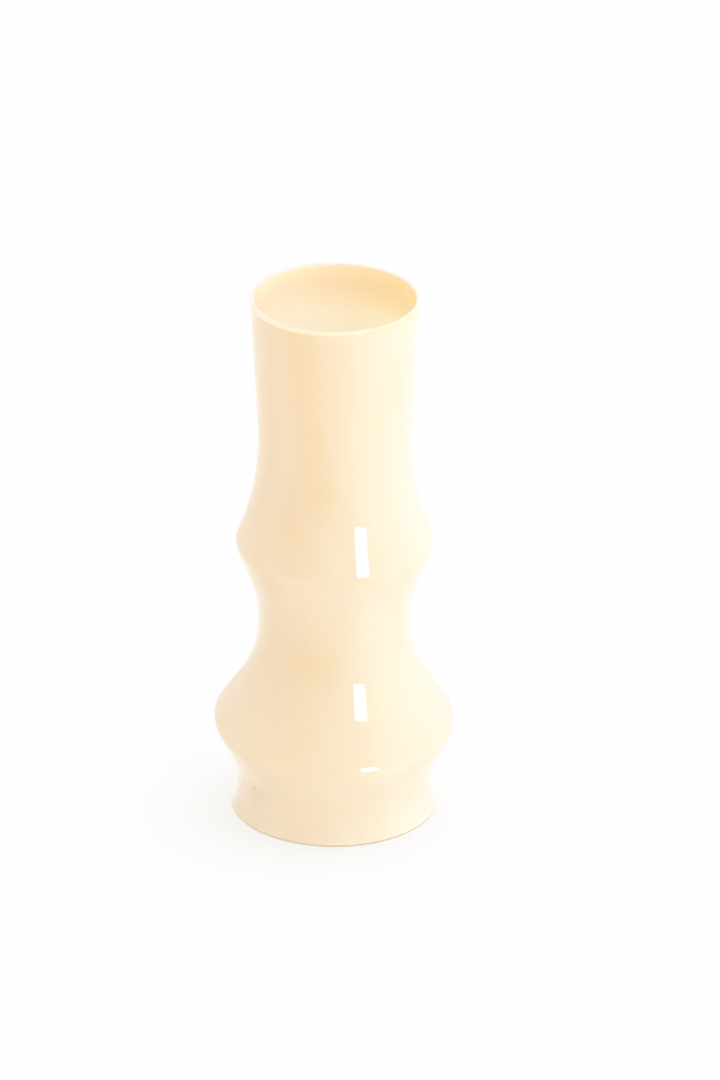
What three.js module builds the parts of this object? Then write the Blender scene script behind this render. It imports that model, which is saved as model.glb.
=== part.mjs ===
// Cased glass vase, blown in two layers: a clear casing outside and a cream opal lining inside.
// The outline steps in and out like a bamboo stem, with two soft rings, a waist and an open mouth.
// Millimetres, +Z up. The origin is on the axis, at the level of the standing ring.
import * as THREE from 'three';

// Rises, each from the corner below it. Corners are those of the outline before it is rounded.
const FOOT_WAIST_RISE = 15.4;
const LOWER_RING_RISE = 28;
const WAIST_RISE = 41.9;
const UPPER_RING_RISE = 46.5;
const NECK_RISE = 30;
const LIP_RISE = 81.9;
const RIM_RISE = 6.3;

// Outside radii at the same corners
const FOOT_RADIUS = 46.8;
const FOOT_WAIST_RADIUS = 41.9;
const LOWER_RING_RADIUS = 55.2;
const WAIST_RADIUS = 27.8;
const UPPER_RING_RADIUS = 45.1;
const NECK_RADIUS = 33.5;
const LIP_RADIUS = 37.9;
const RIM_RADIUS = 38.6;

// Rounding of the outside at each corner
const HEEL_ROUND = 1.2;
const FOOT_WAIST_ROUND = 33.6;
const LOWER_RING_ROUND = 6.6;
const WAIST_ROUND = 59.1;
const UPPER_RING_ROUND = 7.4;
const NECK_ROUND = 123;
const LIP_ROUND = 20;

// The two layers
const CASING_WALL = 1.4;
const CASING_BASE = 0.5;
const CASING_RIM_ROUND = 1.1;
const LINING_WALL = 1.2;
const LINING_BASE = 3;
const LINING_RIM_ROUND = 0.9;
const SEAM_FLOOR_ROUND = 0.6;
const FLOOR_ROUND = 7;

// The layers meet on the floor; beside it the lining stays this much short of the casing
const SEAM_CLEARANCE = 0.02;

// The ground underside: a flat ring to stand on, around a shallow dish
const STANDING_RING_WIDTH = 5;
const DISH_DEPTH = 0.25;

// Fineness of the facets
const FACETS_AROUND = 48;
const FACET_TOLERANCE = 0.14;
const DISH_STEPS = 3;

// A rounding and its neighbour leave this share of the stretch between them
const LARGEST_SHARE = 0.98;

// A corner of the outline: radius across, height up, and the rounding there
function corner(radius, height, round) {
  return { at: new THREE.Vector2(radius, height), round };
}

// The outside corners from heel to rim
function outsideCorners() {
  const steps = [
    [FOOT_RADIUS, 0, HEEL_ROUND],
    [FOOT_WAIST_RADIUS, FOOT_WAIST_RISE, FOOT_WAIST_ROUND],
    [LOWER_RING_RADIUS, LOWER_RING_RISE, LOWER_RING_ROUND],
    [WAIST_RADIUS, WAIST_RISE, WAIST_ROUND],
    [UPPER_RING_RADIUS, UPPER_RING_RISE, UPPER_RING_ROUND],
    [NECK_RADIUS, NECK_RISE, NECK_ROUND],
    [LIP_RADIUS, LIP_RISE, LIP_ROUND],
    [RIM_RADIUS, RIM_RISE, CASING_RIM_ROUND],
  ];
  let height = 0;
  return steps.map(([radius, rise, round]) => {
    height += rise;
    return corner(radius, height, round);
  });
}

// A line of the section, by a point on it and its direction
function levelLine(height) {
  return { point: new THREE.Vector2(0, height), along: new THREE.Vector2(1, 0) };
}

function insetLine(from, to, depth) {
  const along = to.clone().sub(from).normalize();
  const inward = new THREE.Vector2(-along.y, along.x);
  return { point: to.clone().addScaledVector(inward, depth), along };
}

function crossing(a, b) {
  const between = b.point.clone().sub(a.point);
  return a.point.clone().addScaledVector(a.along, between.cross(b.along) / a.along.cross(b.along));
}

// Corners of the surface that lies `depth` inside a wall and `base` above its foot.
// Every rounding keeps its centre, so the wall stays equally thick round the bends.
function insideCorners(outer, depth, base, floorRound, rimRound) {
  const walls = outer.slice(1).map((end, i) => insetLine(outer[i].at, end.at, depth));
  const lines = [levelLine(outer[0].at.y + base), ...walls, levelLine(outer.at(-1).at.y)];
  const corners = outer.map(({ round }, i) => {
    const [before, after] = [lines[i], lines[i + 1]];
    const hollow = before.along.cross(after.along) < 0;
    return { at: crossing(before, after), round: round + (hollow ? depth : -depth) };
  });
  corners[0].round = floorRound;
  corners.at(-1).round = rimRound;
  return corners;
}

// Half the turn that the outline makes at a corner, between its neighbours
function halfTurn(before, at, after) {
  const inbound = at.clone().sub(before);
  const outbound = after.clone().sub(at);
  return Math.abs(Math.atan2(inbound.cross(outbound), inbound.dot(outbound))) / 2;
}

// Points along the corners from `start` to `finish`, with each rounding as an arc
function roundedOutline(start, corners, finish) {
  const at = [start, ...corners.map((c) => c.at), finish];
  const turns = corners.map((c, i) => halfTurn(at[i], at[i + 1], at[i + 2]));
  const reach = [0, ...corners.map((c, i) => Math.max(c.round, 0) * Math.tan(turns[i])), 0];
  const room = at.slice(1).map((p, i) => (LARGEST_SHARE * p.distanceTo(at[i])) / (reach[i] + reach[i + 1]));
  const points = [start];
  corners.forEach((c, i) => {
    const share = Math.min(1, room[i], room[i + 1]);
    points.push(...cornerArc(at[i], c.at, at[i + 2], reach[i + 1] * share, turns[i]));
  });
  return [...points, finish];
}

// The arc that leaves the two sides of a corner `reach` away from it
function cornerArc(before, at, after, reach, turn) {
  if (reach === 0 || turn === 0) return [at.clone()];
  const back = before.clone().sub(at).normalize();
  const ahead = after.clone().sub(at).normalize();
  const radius = reach / Math.tan(turn);
  const middle = back.clone().add(ahead).normalize();
  const centre = at.clone().addScaledVector(middle, radius / Math.cos(turn));
  const first = at.clone().addScaledVector(back, reach);
  const sweep = 2 * turn * Math.sign(ahead.cross(back));
  const finest = 2 * Math.acos(Math.max(0, 1 - FACET_TOLERANCE / radius));
  const steps = Math.max(1, Math.ceil((2 * turn) / finest));
  return Array.from({ length: steps + 1 }, (_, k) =>
    first.clone().rotateAround(centre, (sweep * k) / steps));
}

// The dished underside, from the axis out to the standing ring
function undersideDish(edge) {
  const radius = (edge ** 2 + DISH_DEPTH ** 2) / (2 * DISH_DEPTH);
  const points = [];
  for (let k = 0; k < DISH_STEPS; k += 1) {
    const r = (edge * k) / DISH_STEPS;
    points.push(new THREE.Vector2(r, DISH_DEPTH - radius + Math.sqrt(radius ** 2 - r ** 2)));
  }
  return [...points, new THREE.Vector2(edge, 0)];
}

// A closed body turned from an outline that starts and ends on the axis, stood up on +Z
function turned(outline) {
  const geometry = new THREE.LatheGeometry(outline, FACETS_AROUND);
  geometry.rotateX(Math.PI / 2);
  return geometry;
}

function glassPiece(name, outline, look) {
  const mesh = new THREE.Mesh(turned(outline), new THREE.MeshStandardMaterial(look));
  mesh.name = name;
  return mesh;
}

const outside = outsideCorners();
const fused = insideCorners(outside, CASING_WALL, CASING_BASE, SEAM_FLOOR_ROUND, 0);
const inside = insideCorners(fused, LINING_WALL, LINING_BASE, FLOOR_ROUND, LINING_RIM_ROUND);

// Outlines of the surfaces, each from the axis or the dish up to the top of the rim
const heelReach = HEEL_ROUND * Math.tan(halfTurn(new THREE.Vector2(0, 0), outside[0].at, outside[1].at));
const dish = undersideDish(FOOT_RADIUS - heelReach - STANDING_RING_WIDTH);
const onAxis = (corners) => new THREE.Vector2(0, corners[0].at.y);
const rimSeam = fused.at(-1).at;
const outer = roundedOutline(dish.at(-1), outside, rimSeam);
const seam = roundedOutline(onAxis(fused), fused.slice(0, -1), rimSeam);
const skin = seam.map((p) => new THREE.Vector2(Math.max(p.x - SEAM_CLEARANCE, 0), p.y));
const inner = roundedOutline(onAxis(inside), inside, skin.at(-1));

const clearCasing = glassPiece('clear_casing', [...dish.slice(0, -1), ...outer, ...seam.toReversed().slice(1)], {
  color: 0xfdf3e2,
  roughness: 0.04,
  metalness: 0,
  transparent: true,
  opacity: 0.35,
});
const opalLining = glassPiece('opal_lining', [...skin, ...inner.toReversed().slice(1)], {
  color: 0xf4cd92,
  roughness: 0.2,
  metalness: 0,
});

const vase = new THREE.Group();
vase.name = 'cased_glass_vase';
vase.add(clearCasing, opalLining);

export default vase;
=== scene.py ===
"""Looks of the cased glass vase: clear casing over cream opal lining, on a pale floor in soft light."""
import math

import bpy
from mathutils import Matrix, Vector


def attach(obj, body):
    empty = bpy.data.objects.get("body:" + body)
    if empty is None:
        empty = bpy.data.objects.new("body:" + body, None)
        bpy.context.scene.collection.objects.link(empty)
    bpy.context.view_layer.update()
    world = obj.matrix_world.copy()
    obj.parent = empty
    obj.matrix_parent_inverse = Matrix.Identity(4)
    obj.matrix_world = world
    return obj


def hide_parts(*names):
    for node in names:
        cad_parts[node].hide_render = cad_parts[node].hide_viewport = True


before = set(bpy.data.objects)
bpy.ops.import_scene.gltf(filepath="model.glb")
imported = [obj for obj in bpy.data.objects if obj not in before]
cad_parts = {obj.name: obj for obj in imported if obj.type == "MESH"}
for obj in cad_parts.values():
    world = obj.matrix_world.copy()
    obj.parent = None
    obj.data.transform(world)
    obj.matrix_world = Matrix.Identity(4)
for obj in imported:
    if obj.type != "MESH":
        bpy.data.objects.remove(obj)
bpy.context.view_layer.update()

# Lengths are in metres, apart from the section of the wall, which is drawn in millimetres
MM = 0.001
VASE_BODY = "root"

# Outside corners from heel to rim before they are rounded: radius, height and rounding, in millimetres
HEEL = (46.8, 0.0, 1.2)
FOOT_WAIST = (41.9, 15.4, 33.6)
LOWER_RING = (55.2, 43.4, 6.6)
WAIST = (27.8, 85.3, 59.1)
UPPER_RING = (45.1, 131.8, 7.4)
NECK = (33.5, 161.8, 123.0)
LIP = (37.9, 244.7, 20.0)
RIM = (38.6, 251.0, 1.1)
OUTSIDE = (HEEL, FOOT_WAIST, LOWER_RING, WAIST, UPPER_RING, NECK, LIP, RIM)

# The two layers, in millimetres; the lining reaches a little into the casing, so no air lies between them
CASING_WALL = 1.4
CASING_BASE = 0.5
LINING_WALL = 1.2
LINING_BASE = 3.0
LINING_RIM_ROUND = 0.9
SEAM_FLOOR_ROUND = 0.6
FLOOR_ROUND = 7.0
FUSION_OVERLAP = 0.05

# The ground underside, in millimetres
STANDING_RING_WIDTH = 5.0
DISH_DEPTH = 0.25
DISH_STEPS = 12

# Fineness of the section, in millimetres and by angle. Two roundings take at most the largest share of the
# stretch between them.
LONGEST_STRETCH = 2.2
ARC_STEP = math.radians(3.0)
LARGEST_SHARE = 0.98
LEAST_REACH = 1e-9

# Fineness of the turned walls
FACETS_AROUND = 192
GRID_SIDE = 1.0
SEAM_MERGE = 2e-6

# Slips of the blower's hand: both rings lean to the front, and the wall is a little out of round
LOWER_LEAN = (-0.020, 0.068, 0.0)
LOWER_LEAN_SPREAD = 0.0219
UPPER_LEAN = (0.0, 0.012, 0.0)
UPPER_LEAN_SPREAD = 0.0156
LEAN_START = 0.014
WALL_WOBBLE = 0.00012
WOBBLE_SCALE = 1.6
WOBBLE_DETAIL = 1.0
WOBBLE_MIDDLE = 0.5
WOBBLE_BY_HEIGHT = 25.0
WOBBLE_BY_RADIUS = 50.0
WOBBLE_SEED = 7.0

# Clear glass: its own colour, that of light that passes straight through, and how often light turns in the
# clear ring of the rim before it gets out
GLASS_IOR = 1.5
CLEAR_COLOUR = (1.0, 0.99, 0.975, 1)
STRAIGHT_COLOUR = (1.0, 0.995, 0.985, 1)
CAUGHT_TURNS = 2.5

# The ground foot: the standing ring and the edge of the heel; its amber tint is the opal's colour seen
# through it together with painted contact shade
GROUND_BELOW = 0.0014
GROUND_ROUGHNESS = 0.45
GROUND_EDGE_SHADE = (1.0, 0.82, 0.58, 1)

# One dark seed in the casing, low on the left
SEED_COLOUR = (0.22, 0.13, 0.08, 1)
SEED_PLACE = (-0.03596, -0.02773, 0.02045)
SEED_RADIUS = 0.0006

# Opal glass: how far red, green and blue light sink into it, by share, and how far aside its painted light
# and shade change over from the left to the right
SINKING_SHARES = (1.0, 0.9, 0.8)
SIDE_LIGHT_REACH = 0.035

# The opal skin against the casing: its colour, the deeper tone of its fine drawn streaks, painted shade on
# its left and painted light on its right, painted light that pales it towards the foot, and painted shade on
# its top at the rim.
# Where a tone changes with the height, the pair of heights says where the change starts and ends.
SKIN_DEPTH = 0.002
SKIN_ROUGHNESS = 1.0
OPAL_COLOUR = (0.665, 0.545, 0.418, 1)
OPAL_DEEP = (0.655, 0.515, 0.384, 1)
DRAWN_FINENESS = (60.0, 60.0, 14.0)
DRAWN_DETAIL = 3.0
DRAWN_GRAIN = 0.55
DRAWN_RANGE = (0.35, 0.7)
# Painted shade on the vase's left and painted light on its right
SKIN_SHADED_LEFT = (1.0, 0.98, 0.917, 1)
SKIN_LIT_RIGHT = (1.0, 1.0, 1.01, 1)
# Painted light: the foot paler and less coloured near the floor, where it mirrors the white floor
FLOOR_LIGHT_AT_FOOT = (1.0, 1.05, 1.09, 1)
FLOOR_LIGHT_HEIGHTS = (0.018, 0.005)
# Painted shade on the rim's top, which the light from above would brighten
SHADED_SKIN_ON_RIM = (0.36, 0.29, 0.29, 1)
SKIN_RIM_SHADE_HEIGHTS = (0.2495, 0.2501)

# Where the pigment in the skin lies thicker, a long streak down the left of the front, fainter below the
# shoulder; and two spots of painted shade with their strengths, in the hollows of the waist and the shoulder
# where the glass mirrors a darker room. The slant is the streak's turn for each metre of height.
STREAK_AND_SHADE_COLOUR = (0.65, 0.49, 0.275, 1)
STREAK_TURN = math.radians(-17.0)
STREAK_HEIGHT = 0.200
STREAK_SLANT = math.radians(-187.0)
STREAK_WIDTH = math.radians(14.0)
STREAK_ENDS = (0.148, 0.172)
STREAK_STRENGTH = 0.67
LOWER_STREAK_TURN = math.radians(-18.0)
LOWER_STREAK_STRENGTH = 0.2
SHADE_SPOT_RADIUS = 0.013
# Spots of painted shade, standing in for the darker room that the hollows mirror
SHADED_SPOTS = {"waist": ((-0.0098, -0.0322, 0.0865), 0.65), "shoulder": ((-0.0150, -0.0335, 0.1520), 0.45)}

# The open opal inside the vase: its tones at the rim and further down, where painted light pales it, each
# with painted light on the left and painted shade on the right, and painted shade on the rim's top
OPEN_DEPTH = 0.006
OPEN_ROUGHNESS = 0.06
OPEN_GLOSS = 0.5
OPAL_AT_RIM = (0.765, 0.530, 0.405, 1)
# Inside, painted light on the left wall and painted shade on the right
RIM_LIT_LEFT = (1.0, 0.968, 0.965, 1)
RIM_SHADED_RIGHT = (0.93, 0.915, 0.715, 1)
# Paler further down: painted light, as if light shone through the wall
OPAL_LIT_BELOW_RIM = (0.985, 0.760, 0.675, 1)
INSIDE_LIT_LEFT = (1.0, 0.955, 0.90, 1)
INSIDE_SHADED_RIGHT = (0.93, 0.942, 0.765, 1)
LIT_BELOW_HEIGHTS = (0.245, 0.221)
# Painted shade on the rim's top, which the light from above would brighten
SHADED_OPAL_ON_RIM = (0.50, 0.415, 0.355, 1)
OPEN_RIM_SHADE_HEIGHTS = (0.2499, 0.2508)

WHITE = (1, 1, 1, 1)
BLACK = (0, 0, 0, 1)

# The floor: the colour that lights the vase from below, and as the camera sees it, nearly white with a soft
# shade where the vase stands
FLOOR_HALF_WIDTH = 2.0
FLOOR_COLOUR = (0.93, 0.93, 0.93, 1)
FLOOR_SEEN_COLOUR = (0.15, 0.15, 0.15, 1)
FLOOR_GLOW = 0.94
FLOOR_ROUGHNESS = 0.8
CONTACT_SHADE = 0.25
CONTACT_REACH = 0.07
CONTACT_TURN = (0.45, 0.40, 0.80)
# The painted shade's warm colour, as if the vase's colour bled onto the floor
CONTACT_WARM_SHADE = (1.0, 0.985, 0.90, 1)
CONTACT_SAMPLES = 8

# The strip lamp whose narrow image shows on the rings, and its share in lighting the vase
STRIP_AZIMUTH = math.radians(32.7)
STRIP_REACH = 1.5
STRIP_WIDTH = 0.385
STRIP_BOTTOM = 0.125
STRIP_TOP = 0.825
STRIP_RADIANCE = 14.0
STRIP_FILL = 6.9

# A low card, seen only in the glass, that keeps the strip lamp's image off the heel; its glow is a painted
# reflection in the heel
CARD_REACH = 0.30
CARD_WIDTH = 0.10
CARD_TOP = 0.060
CARD_GLOW = 1.7

# Soft light of the studio by where it comes from: direction, sharpness and strength
ROOM_LIGHT = 0.20
SOFT_LIGHTS = {
    "right_low": ((1, 0, 0.02), 4.0, 2.35),
    "right_front": ((0.7, -0.7, 0.2), 4.0, 0.88),
    "right_back": ((0.7, 0.7, 0.3), 4.0, 1.02),
    "left": ((-1, 0, 0.3), 4.0, 0.60),
    "left_low": ((-1, 0, 0.02), 8.0, 0.67),
    "left_back": ((-0.8, 0.6, 0.4), 4.0, 1.07),
    "top": ((0, 0, 1), 4.0, 0.69),
    "top_front": ((0, -0.6, 0.8), 4.0, 0.96),
}

# What the glass mirrors: the soft lights evened out by a white tent, and below the horizon the tent's floor
TENT_GLOW_FRONT = 1.7
TENT_GLOW_BEHIND = 1.22
TENT_SHARE = 0.65
TENT_FLOOR_SLOPE = 0.45
TENT_TURN = (-0.2, 0.3)
BACKDROP_GLOW = 1.0

# The camera: a long lens from the front, above the rim; lens and sensor are in millimetres
CAMERA_ELEVATION = math.radians(25.59)
CAMERA_DISTANCE = 7.5
CAMERA_LENS = 557.2
CAMERA_SENSOR = 36.0
CAMERA_REACH = 100.0
CAMERA_ROLL = 0.0034
AIM_HEIGHT = 0.125
AIM_RIGHT = 0.0113
AIM_UP = 0.0056

# The film's soft shoulder: straight up to the knee, then bending over to white, alike for all colours
FILM_KNEE = 0.8
FILM_WHITE = 1.25
FILM_STEPS = 4
FILM_ALL_COLOURS = 3


# Section of the wall

def section_corners(corners):
    """Each corner as its point in the section and its rounding."""
    return [(Vector((radius, height)), rounding) for radius, height, rounding in corners]


def crossing(point_a, along_a, point_b, along_b):
    """Where two lines of the section cross."""
    return point_a + along_a * ((point_b - point_a).cross(along_b) / along_a.cross(along_b))


def inset_corners(corners, depth, base, floor_round, rim_round):
    """Corners of the surface that lies depth inside a wall and base above its foot."""
    level = Vector((1, 0))
    lines = [(corners[0][0] + Vector((0, base)), level)]
    for (start, _), (end, _) in zip(corners, corners[1:]):
        along = (end - start).normalized()
        lines.append((end + Vector((-along.y, along.x)) * depth, along))
    lines.append((corners[-1][0], level))
    inset = []
    for (_, rounding), before, after in zip(corners, lines, lines[1:]):
        hollow = before[1].cross(after[1]) < 0
        inset.append((crossing(*before, *after), rounding + (depth if hollow else -depth)))
    inset[0] = (inset[0][0], floor_round)
    inset[-1] = (inset[-1][0], rim_round)
    return inset


def corner_arc(before, at, after, reach, turn):
    """Points of the arc that leaves the two sides of a corner reach away from it."""
    if reach <= 0 or turn == 0:
        return [at.copy()]
    back, ahead = (before - at).normalized(), (after - at).normalized()
    radius = reach / math.tan(turn / 2)
    centre = at + (back + ahead).normalized() * (radius / math.cos(turn / 2))
    spoke = at + back * reach - centre
    sweep = math.copysign(turn, ahead.cross(back))
    steps = max(2, math.ceil(turn / ARC_STEP), math.ceil(radius * turn / LONGEST_STRETCH))
    return [centre + Matrix.Rotation(sweep * k / steps, 2) @ spoke for k in range(steps + 1)]


def rounded_outline(start, corners, finish):
    """The line from start to finish past all corners, each with its rounding."""
    at = [start, *(corner for corner, _ in corners), finish]
    turns = [abs((b - a).angle_signed(c - b)) for a, b, c in zip(at, at[1:], at[2:])]
    reach = [0, *(max(r, 0) * math.tan(t / 2) for (_, r), t in zip(corners, turns)), 0]
    room = [LARGEST_SHARE * (b - a).length / max(reach[i] + reach[i + 1], LEAST_REACH)
            for i, (a, b) in enumerate(zip(at, at[1:]))]
    points = [start]
    for i, turn in enumerate(turns):
        share = min(1, room[i], room[i + 1])
        points += corner_arc(at[i], at[i + 1], at[i + 2], reach[i + 1] * share, turn)
    return points + [finish]


def even_stretches(points):
    """The same line, with its long straight stretches cut into shorter ones."""
    line = [points[0]]
    for start, end in zip(points, points[1:]):
        cuts = max(1, math.ceil((end - start).length / LONGEST_STRETCH))
        line += [start.lerp(end, k / cuts) for k in range(1, cuts + 1)]
    return line


def underside_dish(edge):
    """The shallow dish under the base, from the axis out to the standing ring."""
    radius = (edge**2 + DISH_DEPTH**2) / (2 * DISH_DEPTH)
    radii = [edge * k / DISH_STEPS for k in range(DISH_STEPS + 1)]
    return [Vector((r, DISH_DEPTH - radius + math.sqrt(radius**2 - r**2))) for r in radii]


def on_axis(corners):
    """The point of the axis at the height of the first corner."""
    return Vector((0, corners[0][0].y))


def vase_sections():
    """Closed section lines of casing and lining, and how many points of the lining lie on its fused skin."""
    outside = section_corners(OUTSIDE)
    seam = inset_corners(outside, CASING_WALL, CASING_BASE, SEAM_FLOOR_ROUND, 0)
    skin = inset_corners(outside, CASING_WALL - FUSION_OVERLAP, CASING_BASE - FUSION_OVERLAP,
                         SEAM_FLOOR_ROUND, 0)
    inside = inset_corners(seam, LINING_WALL, LINING_BASE, FLOOR_ROUND, LINING_RIM_ROUND)
    dish = underside_dish(HEEL[0] - HEEL[2] - STANDING_RING_WIDTH)
    rim_seam, rim_skin = seam[-1][0], skin[-1][0]
    outer_line = rounded_outline(dish[-1], outside, rim_seam)
    seam_line = rounded_outline(on_axis(seam), seam[:-1], rim_seam)
    skin_line = even_stretches(rounded_outline(on_axis(skin), skin[:-1], rim_skin))
    inner_line = even_stretches(rounded_outline(on_axis(inside), inside, rim_skin))

    # Up along one surface and down along the other; the point where they meet at the rim counts once
    casing = dish[:-1] + even_stretches(outer_line) + even_stretches(seam_line)[-2::-1]
    lining = skin_line + inner_line[-2::-1]
    return casing, lining, len(skin_line)


# Nodes

def add_node(tree, kind, settings=None, **inputs):
    """A node with its settings, and its inputs set to values or linked to sockets.

    An input is given by its name, or by the letter i and its number where a node has several of one name.
    """
    node = tree.nodes.new(kind)
    for name, value in (settings or {}).items():
        setattr(node, name, value)
    for name, value in inputs.items():
        by_number = name[0] == "i" and name[1:].isdigit()
        socket = node.inputs[int(name[1:]) if by_number else name]
        if isinstance(value, bpy.types.NodeSocket):
            tree.links.new(value, socket)
        else:
            socket.default_value = value
    return node


def maths(tree, operation, *values, clamp=False):
    """The result of a sum with one to three values."""
    node = add_node(tree, "ShaderNodeMath", {"operation": operation, "use_clamp": clamp},
                    **{f"i{k}": value for k, value in enumerate(values)})
    return node.outputs[0]


def axes_of(tree, vector):
    """The X, Y and Z of a vector."""
    return add_node(tree, "ShaderNodeSeparateXYZ", Vector=vector).outputs


def joined(tree, x, y, z):
    """The vector of an X, a Y and a Z."""
    return add_node(tree, "ShaderNodeCombineXYZ", X=x, Y=y, Z=z).outputs[0]


def reach_along(tree, vector, direction):
    """How far a vector reaches in a direction."""
    dot = add_node(tree, "ShaderNodeVectorMath", {"operation": "DOT_PRODUCT"}, i0=vector, i1=direction)
    return dot.outputs["Value"]


def distance_to(tree, place, spot):
    """How far a place is from a spot."""
    gap = add_node(tree, "ShaderNodeVectorMath", {"operation": "DISTANCE"}, i0=place, i1=spot)
    return gap.outputs["Value"]


def bell(tree, value, width):
    """1 where the value is 0, falling off softly within the width."""
    share = maths(tree, "DIVIDE", value, width)
    return maths(tree, "EXPONENT", maths(tree, "MULTIPLY", maths(tree, "MULTIPLY", share, share), -1.0))


def soft_step(tree, value, start, end):
    """0 up to the start and 1 from the end on, with a soft change between them."""
    return add_node(tree, "ShaderNodeMapRange", {"interpolation_type": "SMOOTHSTEP"}, **{
        "Value": value, "From Min": start, "From Max": end}).outputs[0]


def between(tree, share, number_a, number_b):
    """The first number where the share is 0, and the second where it is 1."""
    mix = add_node(tree, "ShaderNodeMix", {"data_type": "FLOAT"}, i0=share, i2=number_a, i3=number_b)
    return mix.outputs[0]


def blend(tree, share, colour_a, colour_b):
    """The first colour where the share is 0, and the second where it is 1."""
    mix = add_node(tree, "ShaderNodeMix", {"data_type": "RGBA"}, i0=share, i6=colour_a, i7=colour_b)
    return mix.outputs[2]


def times(tree, share, colour, tint):
    """The colour where the share is 0, and its product with the tint where it is 1."""
    mix = add_node(tree, "ShaderNodeMix", {"data_type": "RGBA", "blend_type": "MULTIPLY"},
                   i0=share, i6=colour, i7=tint)
    return mix.outputs[2]


# Objects

def placed(name, data):
    """A new object in the scene."""
    thing = bpy.data.objects.new(name, data)
    bpy.context.scene.collection.objects.link(thing)
    return thing


def flat_sheet(name, corners, material):
    """A flat sheet with four corners."""
    mesh = bpy.data.meshes.new(name)
    mesh.from_pydata(corners, [], [(0, 1, 2, 3)])
    mesh.materials.append(material)
    return placed(name, mesh)


# Turned walls

WALL_INPUTS = {
    "Section": "NodeSocketGeometry",
    "Facets around": "NodeSocketInt",
    "Skin points": "NodeSocketInt",
    "Lower ring height": "NodeSocketFloat",
    "Lower ring lean": "NodeSocketVector",
    "Lower lean spread": "NodeSocketFloat",
    "Upper ring height": "NodeSocketFloat",
    "Upper ring lean": "NodeSocketVector",
    "Upper lean spread": "NodeSocketFloat",
    "Lean start": "NodeSocketFloat",
    "Wobble": "NodeSocketFloat",
    "Wobble scale": "NodeSocketFloat",
    "Seed": "NodeSocketFloat",
    "Skin glass": "NodeSocketMaterial",
    "Open glass": "NodeSocketMaterial",
}


def section_grid(tree, given):
    """A flat grid with the turn across it and the section along it.

    With it come the row, the angle, the radius and the height that each of its points stands for.
    """
    size = add_node(tree, "GeometryNodeAttributeDomainSize", Geometry=given["Section"])
    count = size.outputs["Point Count"]
    across = maths(tree, "ADD", given["Facets around"], 1.0)
    grid = add_node(tree, "GeometryNodeMeshGrid", **{
        "Size X": GRID_SIDE, "Size Y": GRID_SIDE, "Vertices X": across, "Vertices Y": count}).outputs["Mesh"]
    position = add_node(tree, "GeometryNodeInputPosition").outputs[0]
    flat = axes_of(tree, position)
    angle = maths(tree, "MULTIPLY", maths(tree, "ADD", flat["X"], GRID_SIDE / 2), math.tau / GRID_SIDE)
    share = maths(tree, "DIVIDE", maths(tree, "ADD", flat["Y"], GRID_SIDE / 2), GRID_SIDE)
    row = maths(tree, "ROUND", maths(tree, "MULTIPLY", share, maths(tree, "SUBTRACT", count, 1.0)))
    sampled = add_node(tree, "GeometryNodeSampleIndex", {"data_type": "FLOAT_VECTOR", "domain": "POINT"},
                       Geometry=given["Section"], Index=row, Value=position).outputs["Value"]
    section = axes_of(tree, sampled)
    return grid, row, angle, section["X"], section["Z"]


def out_of_round(tree, given, angle, radius, height):
    """X and Y of each point, with the same push out of round for both layers and none on the axis."""
    turn_x, turn_y = maths(tree, "COSINE", angle), maths(tree, "SINE", angle)
    place = joined(tree, turn_x, turn_y, maths(tree, "MULTIPLY", height, WOBBLE_BY_HEIGHT))
    noise = add_node(tree, "ShaderNodeTexNoise", {"noise_dimensions": "4D"}, **{
        "Vector": place, "W": given["Seed"], "Scale": given["Wobble scale"], "Detail": WOBBLE_DETAIL})
    push = maths(tree, "MULTIPLY", maths(tree, "SUBTRACT", noise.outputs[0], WOBBLE_MIDDLE), given["Wobble"])
    push = maths(tree, "MULTIPLY", push, maths(tree, "MULTIPLY", radius, WOBBLE_BY_RADIUS))
    pushed = maths(tree, "ADD", radius, push)
    return maths(tree, "MULTIPLY", pushed, turn_x), maths(tree, "MULTIPLY", pushed, turn_y)


def leaning_height(tree, given, x, y, height):
    """The height with each ring's lean, which fades like a bell above and below it and ends at the foot."""
    straight = joined(tree, x, y, height)
    rise = maths(tree, "DIVIDE", height, given["Lean start"], clamp=True)
    lifted = height
    for ring in ("Lower", "Upper"):
        away = maths(tree, "SUBTRACT", height, given[f"{ring} ring height"])
        away = maths(tree, "DIVIDE", away, given[f"{ring} lean spread"])
        fade = maths(tree, "EXPONENT", maths(tree, "MULTIPLY", maths(tree, "MULTIPLY", away, away), -0.5))
        lean = reach_along(tree, straight, given[f"{ring} ring lean"])
        lifted = maths(tree, "MULTIPLY_ADD", lean, maths(tree, "MULTIPLY", fade, rise), lifted)
    return lifted


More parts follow.
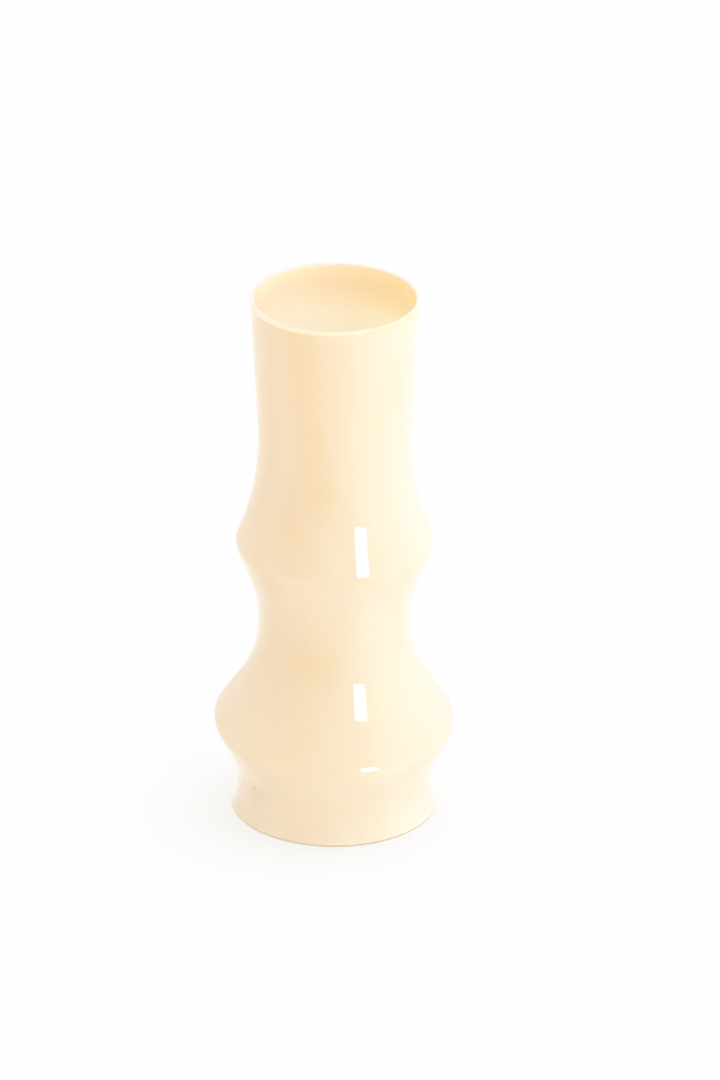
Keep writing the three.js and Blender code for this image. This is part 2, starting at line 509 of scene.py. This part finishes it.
def turned_wall_tree():
    """Turns a section line round the axis into a closed wall, with the slips of hand blowing."""
    tree = bpy.data.node_groups.new("turned_wall", "GeometryNodeTree")
    for name, kind in WALL_INPUTS.items():
        tree.interface.new_socket(name, in_out="INPUT", socket_type=kind)
    tree.interface.new_socket("Wall", in_out="OUTPUT", socket_type="NodeSocketGeometry")
    given = add_node(tree, "NodeGroupInput").outputs
    grid, row, angle, radius, height = section_grid(tree, given)
    x, y = out_of_round(tree, given, angle, radius, height)
    turned = joined(tree, x, y, leaning_height(tree, given, x, y, height))

    # The skin is picked while the grid still has its rows
    middle = add_node(tree, "GeometryNodeFieldOnDomain", {"data_type": "FLOAT", "domain": "FACE"},
                      Value=row).outputs["Value"]
    on_skin = maths(tree, "LESS_THAN", middle, maths(tree, "SUBTRACT", given["Skin points"], 1.0))
    picked = add_node(tree, "GeometryNodeCaptureAttribute", {"domain": "FACE"}, Geometry=grid)
    picked.capture_items.new("FLOAT", "On skin")
    tree.links.new(on_skin, picked.inputs["On skin"])

    wall = picked.outputs["Geometry"]
    wall = add_node(tree, "GeometryNodeSetPosition", Geometry=wall, Position=turned).outputs[0]
    wall = add_node(tree, "GeometryNodeMergeByDistance", Geometry=wall, Distance=SEAM_MERGE).outputs[0]
    wall = add_node(tree, "GeometryNodeSetShadeSmooth", Geometry=wall).outputs[0]
    wall = add_node(tree, "GeometryNodeRealizeInstances", Geometry=wall).outputs[0]
    wall = add_node(tree, "GeometryNodeSetMaterial", Geometry=wall, Material=given["Open glass"]).outputs[0]
    wall = add_node(tree, "GeometryNodeSetMaterial", Geometry=wall, Selection=picked.outputs["On skin"],
                    Material=given["Skin glass"]).outputs[0]
    add_node(tree, "NodeGroupOutput", Wall=wall)
    return tree


def turned_piece(name, section, tree, skin_points, skin_glass, open_glass):
    """A plain mesh object, turned from its section line by the tree."""
    line = bpy.data.meshes.new(name + "_section")
    line.from_pydata([(p.x * MM, 0, p.y * MM) for p in section],
                     [(k, k + 1) for k in range(len(section) - 1)], [])
    piece = placed(name, line)
    modifier = piece.modifiers.new("turned_wall", "NODES")
    modifier.node_group = tree
    values = {
        "Facets around": FACETS_AROUND,
        "Skin points": skin_points,
        "Lower ring height": LOWER_RING[1] * MM,
        "Lower ring lean": LOWER_LEAN,
        "Lower lean spread": LOWER_LEAN_SPREAD,
        "Upper ring height": UPPER_RING[1] * MM,
        "Upper ring lean": UPPER_LEAN,
        "Upper lean spread": UPPER_LEAN_SPREAD,
        "Lean start": LEAN_START,
        "Wobble": WALL_WOBBLE,
        "Wobble scale": WOBBLE_SCALE,
        "Seed": WOBBLE_SEED,
        "Skin glass": skin_glass,
        "Open glass": open_glass,
    }

    # Inputs are set before the piece is first evaluated, and its result becomes a plain mesh
    for socket in tree.interface.items_tree:
        if socket.name in values:
            modifier[socket.identifier] = values[socket.name]
    evaluated = piece.evaluated_get(bpy.context.evaluated_depsgraph_get())
    piece.data = bpy.data.meshes.new_from_object(evaluated)
    piece.data.name = name
    piece.modifiers.clear()
    bpy.data.meshes.remove(line)
    return piece


# Finishes

def new_material(name):
    """A material and its empty node tree."""
    material = bpy.data.materials.new(name)
    material.use_nodes = True
    material.node_tree.nodes.clear()
    return material, material.node_tree


def clear_glass():
    """Fire-polished clear glass with a ground standing ring.

    Lamp light, scattered light and light caught in the rim pass straight through it.
    """
    material, tree = new_material("clear_glass")
    place = add_node(tree, "ShaderNodeTexCoord").outputs["Object"]
    ground = maths(tree, "LESS_THAN", axes_of(tree, place)["Z"], GROUND_BELOW)
    seed = maths(tree, "LESS_THAN", distance_to(tree, place, SEED_PLACE), SEED_RADIUS)
    # The ground edge is tinted amber: the opal's colour seen through it, with painted contact shade
    colour = blend(tree, seed, blend(tree, ground, CLEAR_COLOUR, GROUND_EDGE_SHADE), SEED_COLOUR)
    glass = add_node(tree, "ShaderNodeBsdfPrincipled", **{
        "Base Color": colour, "Roughness": maths(tree, "MULTIPLY", ground, GROUND_ROUGHNESS),
        "IOR": GLASS_IOR, "Transmission Weight": 1.0})
    straight = add_node(tree, "ShaderNodeBsdfTransparent", Color=STRAIGHT_COLOUR)
    path = add_node(tree, "ShaderNodeLightPath").outputs
    passes = maths(tree, "MAXIMUM", path["Is Shadow Ray"], path["Is Diffuse Ray"])
    passes = maths(tree, "MAXIMUM", passes, maths(tree, "GREATER_THAN", path["Ray Depth"], CAUGHT_TURNS))
    mix = add_node(tree, "ShaderNodeMixShader", i0=passes, i1=glass.outputs[0], i2=straight.outputs[0])
    add_node(tree, "ShaderNodeOutputMaterial", Surface=mix.outputs[0])
    return material


def drawn_streaks(tree, place):
    """How far the opal is drawn into fine streaks, from none to all."""
    drawn = add_node(tree, "ShaderNodeMapping", Vector=place, Scale=DRAWN_FINENESS)
    streaks = add_node(tree, "ShaderNodeTexNoise", **{
        "Vector": drawn.outputs[0], "Scale": 1.0, "Detail": DRAWN_DETAIL, "Roughness": DRAWN_GRAIN})
    lowest, highest = DRAWN_RANGE
    return add_node(tree, "ShaderNodeMapRange", **{
        "Value": streaks.outputs[0], "From Min": lowest, "From Max": highest}).outputs[0]


def pigment_and_shaded_spots(tree, place):
    """Where the opal is deeper in colour: along the long streak of pigment, and round the spots of painted
    shade.
    """
    axes = axes_of(tree, place)
    turn = maths(tree, "ARCTAN2", axes["X"], maths(tree, "MULTIPLY", axes["Y"], -1.0))
    rise = maths(tree, "SUBTRACT", axes["Z"], STREAK_HEIGHT)
    aside = maths(tree, "SUBTRACT", turn, maths(tree, "MULTIPLY_ADD", rise, STREAK_SLANT, STREAK_TURN))
    above = maths(tree, "MULTIPLY", soft_step(tree, axes["Z"], *STREAK_ENDS), STREAK_STRENGTH)
    below = maths(tree, "MULTIPLY", soft_step(tree, axes["Z"], *reversed(STREAK_ENDS)), LOWER_STREAK_STRENGTH)
    beside = maths(tree, "SUBTRACT", turn, LOWER_STREAK_TURN)
    deepest = maths(tree, "MAXIMUM", maths(tree, "MULTIPLY", bell(tree, aside, STREAK_WIDTH), above),
                    maths(tree, "MULTIPLY", bell(tree, beside, STREAK_WIDTH), below))
    # The spots are painted shade
    for spot, strength in SHADED_SPOTS.values():
        share = maths(tree, "MULTIPLY", bell(tree, distance_to(tree, place, spot), SHADE_SPOT_RADIUS), strength)
        deepest = maths(tree, "MAXIMUM", deepest, share)
    return deepest


def height_share(tree, place, heights):
    """0 up to the first of the two heights and 1 from the second on, whichever of them is the lower."""
    return soft_step(tree, axes_of(tree, place)["Z"], *heights)


def side_lit(tree, place, colour, left, right):
    """The colour times painted light and shade that change from the left of the vase to the right."""
    across = soft_step(tree, axes_of(tree, place)["X"], -SIDE_LIGHT_REACH, SIDE_LIGHT_REACH)
    return times(tree, 1.0, colour, blend(tree, across, left, right))


def skin_colour(tree, place):
    """Colour of the skin that lies against the casing, with painted light and shade."""
    colour = blend(tree, drawn_streaks(tree, place), OPAL_COLOUR, OPAL_DEEP)
    colour = side_lit(tree, place, colour, SKIN_SHADED_LEFT, SKIN_LIT_RIGHT)
    colour = blend(tree, pigment_and_shaded_spots(tree, place), colour, STREAK_AND_SHADE_COLOUR)
    colour = times(tree, height_share(tree, place, FLOOR_LIGHT_HEIGHTS), colour, FLOOR_LIGHT_AT_FOOT)
    return blend(tree, height_share(tree, place, SKIN_RIM_SHADE_HEIGHTS), colour, SHADED_SKIN_ON_RIM)


def open_colour(tree, place):
    """Colour of the face inside the vase, with painted light and shade."""
    upper = side_lit(tree, place, OPAL_AT_RIM, RIM_LIT_LEFT, RIM_SHADED_RIGHT)
    lower = side_lit(tree, place, OPAL_LIT_BELOW_RIM, INSIDE_LIT_LEFT, INSIDE_SHADED_RIGHT)
    colour = blend(tree, height_share(tree, place, LIT_BELOW_HEIGHTS), upper, lower)
    return blend(tree, height_share(tree, place, OPEN_RIM_SHADE_HEIGHTS), colour, SHADED_OPAL_ON_RIM)


def opal_body(name, colour_of, depth, roughness, gloss):
    """Cream opal glass that light sinks into, of the colour that colour_of makes from the place."""
    material, tree = new_material(name)
    place = add_node(tree, "ShaderNodeTexCoord").outputs["Object"]
    opal = add_node(tree, "ShaderNodeBsdfPrincipled", **{
        "Base Color": colour_of(tree, place), "IOR": GLASS_IOR, "Subsurface Weight": 1.0,
        "Subsurface Radius": SINKING_SHARES, "Subsurface Scale": depth, "Roughness": roughness,
        "Specular IOR Level": gloss})
    add_node(tree, "ShaderNodeOutputMaterial", Surface=opal.outputs[0])
    return material


def fused_opal():
    """The skin that lies against the casing, with no gloss of its own."""
    return opal_body("fused_opal", skin_colour, SKIN_DEPTH, SKIN_ROUGHNESS, 0.0)


def open_opal():
    """The face inside the vase, glossy towards the air."""
    return opal_body("open_opal", open_colour, OPEN_DEPTH, OPEN_ROUGHNESS, OPEN_GLOSS)


def pale_floor():
    """Floor paint that throws light back evenly, with a soft shade round the foot as the camera sees it."""
    material, tree = new_material("pale_floor")
    path = add_node(tree, "ShaderNodeLightPath").outputs
    seen = maths(tree, "MAXIMUM", path["Is Camera Ray"], path["Is Transmission Ray"])
    open_sky = add_node(tree, "ShaderNodeAmbientOcclusion", {"samples": CONTACT_SAMPLES},
                        Distance=CONTACT_REACH, Normal=joined(tree, *CONTACT_TURN)).outputs["AO"]
    light = maths(tree, "MULTIPLY_ADD", open_sky, CONTACT_SHADE, 1.0 - CONTACT_SHADE)
    shaded = blend(tree, light, BLACK, FLOOR_SEEN_COLOUR)
    paint = add_node(tree, "ShaderNodeBsdfPrincipled", **{
        "Base Color": blend(tree, seen, FLOOR_COLOUR, shaded), "Roughness": FLOOR_ROUGHNESS,
        "Specular IOR Level": 0.0, "Emission Color": blend(tree, open_sky, CONTACT_WARM_SHADE, WHITE),
        "Emission Strength": maths(tree, "MULTIPLY", maths(tree, "MULTIPLY", seen, light), FLOOR_GLOW)})
    add_node(tree, "ShaderNodeOutputMaterial", Surface=paint.outputs[0])
    return material


def glowing_card():
    """Card that glows evenly: a painted reflection, seen only in the glass."""
    material, tree = new_material("glowing_card")
    glow = add_node(tree, "ShaderNodeEmission", Strength=CARD_GLOW)
    add_node(tree, "ShaderNodeOutputMaterial", Surface=glow.outputs[0])
    return material


# Studio

def studio_floor():
    """The floor that the vase stands on, which its glass doesn't mirror."""
    half = FLOOR_HALF_WIDTH
    corners = [(-half, -half, 0), (half, -half, 0), (half, half, 0), (-half, half, 0)]
    floor = flat_sheet("studio_floor", corners, pale_floor())
    floor.visible_glossy = False


def soft_panel(name, place, target, width, height, radiance):
    """A soft rectangular lamp of an even radiance, turned to its target and unseen by the camera."""
    lamp = bpy.data.lights.new(name, "AREA")
    lamp.shape = "RECTANGLE"
    lamp.size = width
    lamp.size_y = height
    lamp.energy = radiance * math.pi * width * height
    panel = placed(name, lamp)
    panel.location = place
    panel.rotation_euler = (Vector(target) - Vector(place)).to_track_quat("-Z", "Y").to_euler()
    panel.visible_camera = False
    return panel


def strip_light():
    """The strip lamp in two: one that the glass mirrors, and one that lights the vase."""
    height = (STRIP_BOTTOM + STRIP_TOP) / 2
    place = (STRIP_REACH * math.sin(STRIP_AZIMUTH), -STRIP_REACH * math.cos(STRIP_AZIMUTH), height)
    size = (STRIP_WIDTH, STRIP_TOP - STRIP_BOTTOM)
    strip = soft_panel("strip_lamp", place, (0, 0, height), *size, STRIP_RADIANCE)
    strip.visible_diffuse = False
    strip.visible_transmission = False
    fill = soft_panel("strip_fill", place, (0, 0, height), *size, STRIP_FILL)
    fill.visible_glossy = False


def heel_card():
    """The card in front of the strip lamp, which only the glass mirrors."""
    across = Vector((math.cos(STRIP_AZIMUTH), math.sin(STRIP_AZIMUTH), 0)) * (CARD_WIDTH / 2)
    middle = Vector((math.sin(STRIP_AZIMUTH), -math.cos(STRIP_AZIMUTH), 0)) * CARD_REACH
    rise = Vector((0, 0, CARD_TOP))
    corners = [middle - across, middle + across, middle + across + rise, middle - across + rise]
    card = flat_sheet("heel_card", corners, glowing_card())
    card.visible_camera = False
    card.visible_diffuse = False
    card.visible_transmission = False
    card.visible_shadow = False


def studio_world():
    """An even room with soft lights round the vase; the glass mirrors a tent, the camera sees plain white."""
    world = bpy.data.worlds.new("studio_world")
    world.use_nodes = True
    tree = world.node_tree
    tree.nodes.clear()
    path = add_node(tree, "ShaderNodeLightPath").outputs
    view = add_node(tree, "ShaderNodeTexCoord").outputs["Generated"]
    light = ROOM_LIGHT
    for name, (direction, sharpness, strength) in SOFT_LIGHTS.items():
        towards = reach_along(tree, view, Vector(direction).normalized())
        falloff = maths(tree, "MULTIPLY_ADD", towards, sharpness, -sharpness)
        share = maths(tree, "MULTIPLY", maths(tree, "EXPONENT", falloff), strength)
        share.node.name = name
        light = maths(tree, "ADD", share, light)
    axes = axes_of(tree, view)
    tent = maths(tree, "MAXIMUM", soft_step(tree, axes["Z"], 0.0, -TENT_FLOOR_SLOPE), TENT_SHARE)
    tent = maths(tree, "MULTIPLY", tent, path["Is Glossy Ray"])
    glow = between(tree, soft_step(tree, axes["Y"], *TENT_TURN), TENT_GLOW_FRONT, TENT_GLOW_BEHIND)
    room = add_node(tree, "ShaderNodeBackground", Color=WHITE, Strength=between(tree, tent, light, glow))
    backdrop = add_node(tree, "ShaderNodeBackground", Color=WHITE, Strength=BACKDROP_GLOW)
    seen = maths(tree, "MAXIMUM", path["Is Camera Ray"], path["Is Transmission Ray"])
    mix = add_node(tree, "ShaderNodeMixShader", i0=seen, i1=room.outputs[0], i2=backdrop.outputs[0])
    add_node(tree, "ShaderNodeOutputWorld", Surface=mix.outputs[0])
    bpy.context.scene.world = world


def long_lens_camera():
    """The camera, aimed a little beside the middle of the vase."""
    lens = bpy.data.cameras.new("long_lens")
    lens.lens = CAMERA_LENS
    lens.sensor_width = CAMERA_SENSOR
    lens.clip_end = CAMERA_REACH
    camera = placed("long_lens", lens)
    back = Vector((0, -math.cos(CAMERA_ELEVATION), math.sin(CAMERA_ELEVATION)))
    up = Vector((0, math.sin(CAMERA_ELEVATION), math.cos(CAMERA_ELEVATION)))
    aim = Vector((AIM_RIGHT, 0, AIM_HEIGHT)) + up * AIM_UP
    camera.location = aim + back * CAMERA_DISTANCE
    turn = (-back).to_track_quat("-Z", "Y").to_matrix() @ Matrix.Rotation(CAMERA_ROLL, 3, "Z")
    camera.rotation_euler = turn.to_euler()
    bpy.context.scene.camera = camera


def film_curve():
    """Bends the brightest tones over to white, with a curve that leaves the knee straight and ends level."""
    view = bpy.context.scene.view_settings
    view.view_transform = "Standard"
    view.use_curve_mapping = True
    mapping = view.curve_mapping
    mapping.clip_max_x = FILM_WHITE
    points = mapping.curves[FILM_ALL_COLOURS].points
    points[1].location = (FILM_WHITE, 1.0)
    points.new(FILM_KNEE, FILM_KNEE)
    span = 1 - FILM_KNEE
    slope = (FILM_WHITE - FILM_KNEE) / span
    for k in range(1, FILM_STEPS):
        t = k / FILM_STEPS
        bend = (slope - 2) * t**3 + (3 - 2 * slope) * t**2 + slope * t
        points.new(FILM_KNEE + (FILM_WHITE - FILM_KNEE) * t, FILM_KNEE + span * bend)
    mapping.update()


casing_section, lining_section, skin_points = vase_sections()
wall_tree = turned_wall_tree()
glass = clear_glass()
casing = turned_piece("clear_casing_wall", casing_section, wall_tree, 0, glass, glass)
lining = turned_piece("opal_lining_wall", lining_section, wall_tree, skin_points, fused_opal(), open_opal())
for piece, node, slot in ((casing, "clear_casing", "clear_glass"),
                          (lining, "opal_lining", "cream_opal_glass")):
    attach(piece, VASE_BODY)
    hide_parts(node)

studio_floor()
strip_light()
heel_card()
studio_world()
long_lens_camera()
film_curve()
